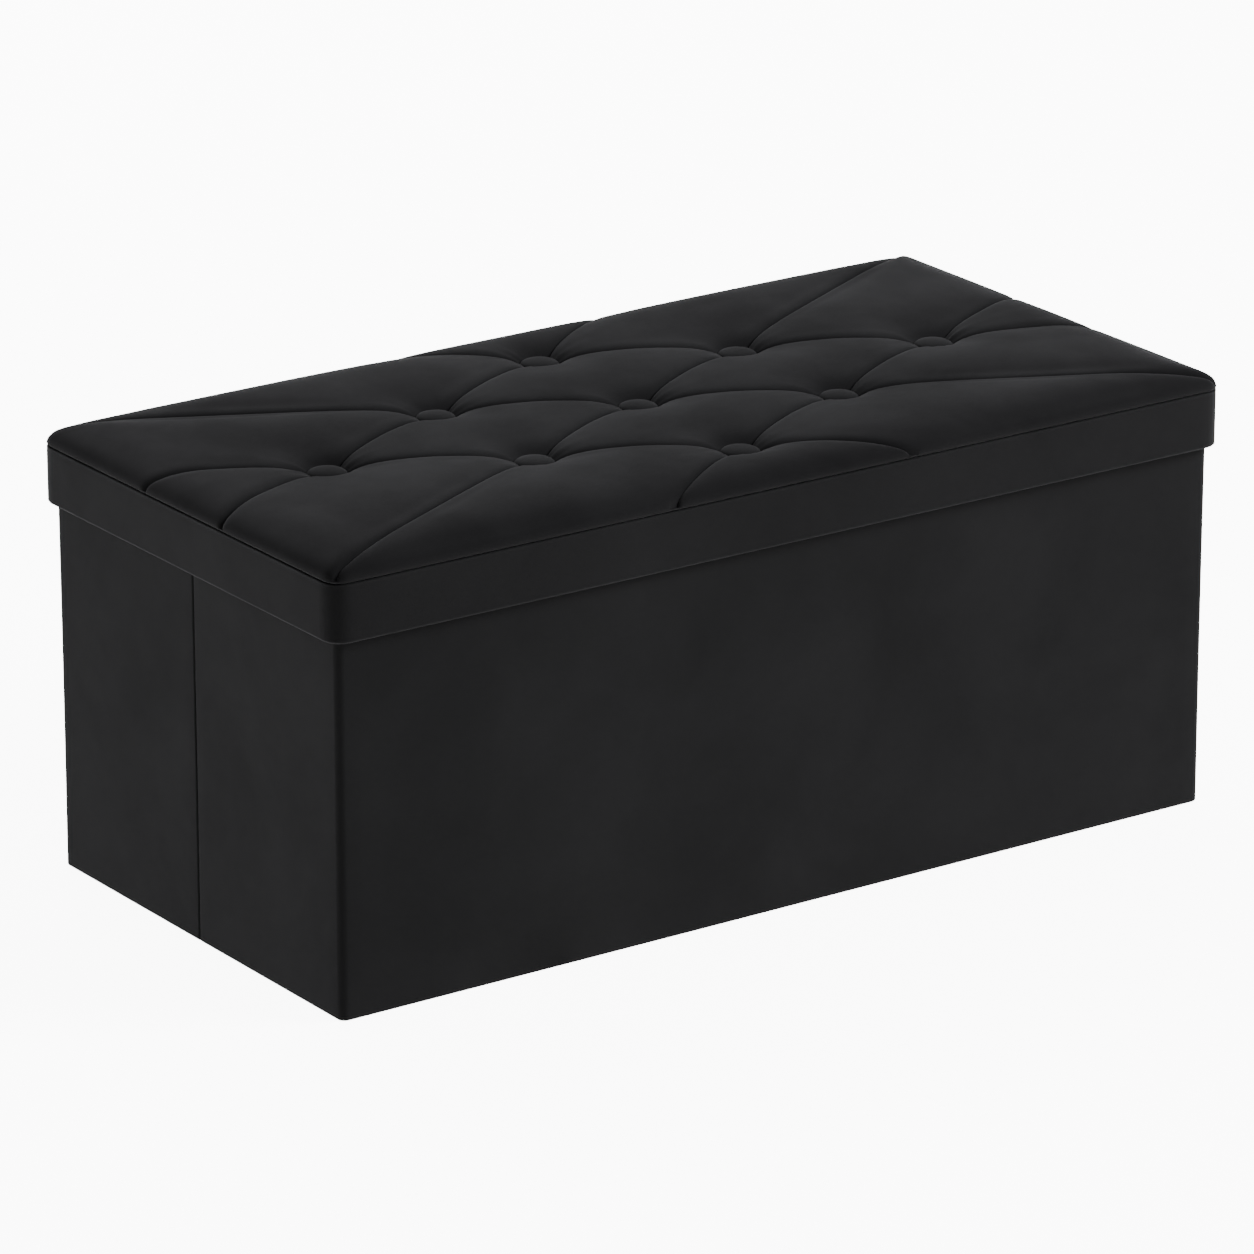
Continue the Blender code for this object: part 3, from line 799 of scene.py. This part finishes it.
def velvet():
    """Short-pile polyester velvet, dyed black and brushed. Seen square on it is nearly black, and
    at a glancing angle the pile's tips shine grey; strokes of the hand leave soft clouds."""
    made, tree, shader = new_material("black_polyester_velvet", Roughness=0.95, Specular_IOR_Level=0.04,
                                      Sheen_Roughness=0.4,
                                      Sheen_Tint=linear("#58585b"))
    where = add_node(tree, "ShaderNodeTexCoord")
    clouds = add_node(tree, "ShaderNodeTexNoise", inputs={
        "Vector": (where, "Object"), "Scale": per(110), "Detail": 4.0, "Roughness": 0.55,
        "Distortion": 0.25})
    shades = add_node(tree, "ShaderNodeValToRGB", inputs={"Fac": (clouds, "Fac")},
                      ramp=[(0.3, "#121213"), (0.7, "#1a1a1b")])
    nap = add_node(tree, "ShaderNodeMapRange", inputs={
        "Value": (clouds, "Fac"), "From Min": 0.35, "From Max": 0.65, "To Min": 0.2, "To Max": 0.38})
    tree.links.new(nap.outputs["Result"], shader.inputs["Sheen Weight"])
    # the pile is 0.1 mm fine and is drawn at 0.8 mm so that it shows
    pile = add_node(tree, "ShaderNodeTexNoise", inputs={
        "Vector": (where, "Object"), "Scale": per(0.8), "Detail": 2.0})
    set_surface(tree, shader, (shades, "Color"), (pile, "Fac"), 0.25, 0.3)
    return made


def lining_cloth():
    """Black spunbond polypropylene: dull, with rows of small dimples where its fibres are welded
    (1.2 mm apart, drawn at 2.5 mm so that they show)."""
    made, tree, shader = new_material("black_spunbond_lining", Roughness=0.8, Specular_IOR_Level=0.25)
    where = add_node(tree, "ShaderNodeTexCoord")
    welds = add_node(tree, "ShaderNodeTexVoronoi", inputs={
        "Vector": (where, "Object"), "Scale": per(2.5), "Randomness": 0.15})
    dimples = add_node(tree, "ShaderNodeMapRange", inputs={
        "Value": (welds, "Distance"), "From Min": 0.1, "From Max": 0.4})
    fibres = add_node(tree, "ShaderNodeTexNoise", inputs={
        "Vector": (where, "Object"), "Scale": per(6), "Detail": 5.0, "Distortion": 1.5})
    shades = add_node(tree, "ShaderNodeValToRGB", inputs={"Fac": (fibres, "Fac")},
                      ramp=[(0.3, "#1a1a1b"), (0.7, "#2a2a2b")])
    set_surface(tree, shader, (shades, "Color"), (dimples, "Result"), 0.2)
    return made


def fibreboard():
    """Medium-density fibreboard, pressed and sanded: matt brown with fine darker fibres."""
    made, tree, shader = new_material("sanded_fibreboard", Roughness=0.85)
    where = add_node(tree, "ShaderNodeTexCoord")
    fibres = add_node(tree, "ShaderNodeTexNoise", inputs={
        "Vector": (where, "Object"), "Scale": per(2.0), "Detail": 8.0, "Roughness": 0.7})
    shades = add_node(tree, "ShaderNodeValToRGB", inputs={"Fac": (fibres, "Fac")},
                      ramp=[(0.35, "#7c5f3e"), (0.65, "#a98a62")])
    set_surface(tree, shader, (shades, "Color"), (fibres, "Fac"), 0.05)
    return made


def foam():
    """Open-cell polyurethane foam, cut from a block: cream, with cells about a millimetre wide."""
    made, tree, shader = new_material("cut_polyurethane_foam", Roughness=0.95)
    where = add_node(tree, "ShaderNodeTexCoord")
    cells = add_node(tree, "ShaderNodeTexVoronoi", inputs={"Vector": (where, "Object"),
                                                           "Scale": per(1.2)})
    # painted shade: the colour darkens towards each cell's middle, where the bump sinks into a pore
    shades = add_node(tree, "ShaderNodeValToRGB", inputs={"Fac": (cells, "Distance")},
                      ramp=[(0.1, "#c9bd93"), (0.6, "#e9e0c0")])
    set_surface(tree, shader, (shades, "Color"), (cells, "Distance"), 0.4)
    return made


def nylon():
    """Moulded nylon in its natural colour: milky and waxy, with a faint flow pattern."""
    made, tree, shader = new_material("moulded_natural_nylon", Roughness=0.42, IOR=1.53)
    where = add_node(tree, "ShaderNodeTexCoord")
    flow = add_node(tree, "ShaderNodeTexNoise", inputs={
        "Vector": (where, "Object"), "Scale": per(5), "Distortion": 1.0})
    shades = add_node(tree, "ShaderNodeValToRGB", inputs={"Fac": (flow, "Fac")},
                      ramp=[(0.3, "#cfcdc0"), (0.7, "#e2e0d4")])
    set_surface(tree, shader, (shades, "Color"), (flow, "Fac"), 0.04)
    return made


def grosgrain():
    """Woven polyester ribbon and waxed twine: black, with close ribs across (0.8 mm apart)."""
    made, tree, shader = new_material("black_grosgrain_ribbon", Roughness=0.6, Sheen_Weight=0.15)
    where = add_node(tree, "ShaderNodeTexCoord")
    ribs = add_node(tree, "ShaderNodeTexWave", {"bands_direction": "X"},
                    {"Vector": (where, "Object"), "Scale": per(0.8) / 20, "Distortion": 0.2})
    # painted shade: the colour darkens in the grooves between the ribs, where the bump sinks
    shades = add_node(tree, "ShaderNodeValToRGB", inputs={"Fac": (ribs, "Fac")},
                      ramp=[(0.2, "#141414"), (0.9, "#2b2b2c")])
    set_surface(tree, shader, (shades, "Color"), (ribs, "Fac"), 0.15)
    return made


def dress(items, material):
    for item in items:
        item.data.materials.clear()
        item.data.materials.append(material)


# ---------------------------------------------------------------- stage

CAMERA_PLACE = (-2.9514, -4.2153, 1.9682)
CAMERA_TILT = 19.392
CAMERA_TURN = -34.911
CAMERA_LENS = 218.73
FLOOR_REACH = 30.0
FLOOR_Z = -0.3 * MM
FLOOR_GLOW = 9.0
AMBIENT = 0.22


def make_stage():
    """A lit white table, which throws no diffuse light back at the object."""
    mesh = bpy.data.meshes.new("floor")
    mesh.from_pydata([(a * FLOOR_REACH, b * FLOOR_REACH, FLOOR_Z)
                      for a, b in ((-1, -1), (1, -1), (1, 1), (-1, 1))], [], [(0, 1, 2, 3)])
    floor = bpy.data.objects.new("floor", mesh)
    bpy.context.scene.collection.objects.link(floor)
    floor.visible_diffuse = False
    made, _, _ = new_material("lit_white_acrylic_table", Base_Color=linear("#f8f8f8"), Roughness=0.9,
                              Specular_IOR_Level=0.1, Emission_Color=linear("#ffffff"),
                              Emission_Strength=FLOOR_GLOW)
    mesh.materials.append(made)
    world = bpy.data.worlds.new("studio")
    bpy.context.scene.world = world
    world.use_nodes = True
    world.node_tree.nodes["Background"].inputs["Color"].default_value = (1, 1, 1, 1)
    world.node_tree.nodes["Background"].inputs["Strength"].default_value = AMBIENT


def softbox(name, power, size, place, target=(0, 0, 0.2)):
    data = bpy.data.lights.new(name, "AREA")
    data.energy = power
    data.shape = "RECTANGLE"
    data.size, data.size_y = size
    lamp = bpy.data.objects.new(name, data)
    bpy.context.scene.collection.objects.link(lamp)
    lamp.location = place
    lamp.rotation_euler = (Vector(target) - Vector(place)).to_track_quat("-Z", "Y").to_euler()


def make_camera():
    data = bpy.data.cameras.new("camera")
    data.lens = CAMERA_LENS
    data.sensor_width = 36.0
    camera = bpy.data.objects.new("camera", data)
    bpy.context.scene.collection.objects.link(camera)
    camera.location = CAMERA_PLACE
    camera.rotation_euler = Euler((math.radians(90 - CAMERA_TILT), 0, math.radians(CAMERA_TURN)))
    bpy.context.scene.camera = camera


# ---------------------------------------------------------------- the object

make_camera()
make_stage()
softbox("overhead", 45, (5.0, 4.0), (0.4, 0.9, 3.2))
softbox("behind", 185, (4.0, 2.0), (1.0, 3.2, 2.4))
softbox("right", 400, (2.0, 2.0), (3.2, -2.7, 3.0))
softbox("left", 42, (2.0, 2.0), (-2.7, 3.0, 3.0))

SWELLING = simulated_swelling()
VELVET_PIECES = [make_cushion(SWELLING), make_skirt(), *make_buttons(), *make_wall_cloths(),
                 *make_fold_strips()]
dress(VELVET_PIECES, velvet())
dress([make_foam()], foam())
dress([*make_linings(), make_bottom_cloth()], lining_cloth())
dress([make_ribbon(), *make_twines()], grosgrain())
dress([item for node, item in NODES.items() if node.endswith("_board")], fibreboard())
dress([item for node, item in NODES.items() if node.startswith("button_disc")], nylon())
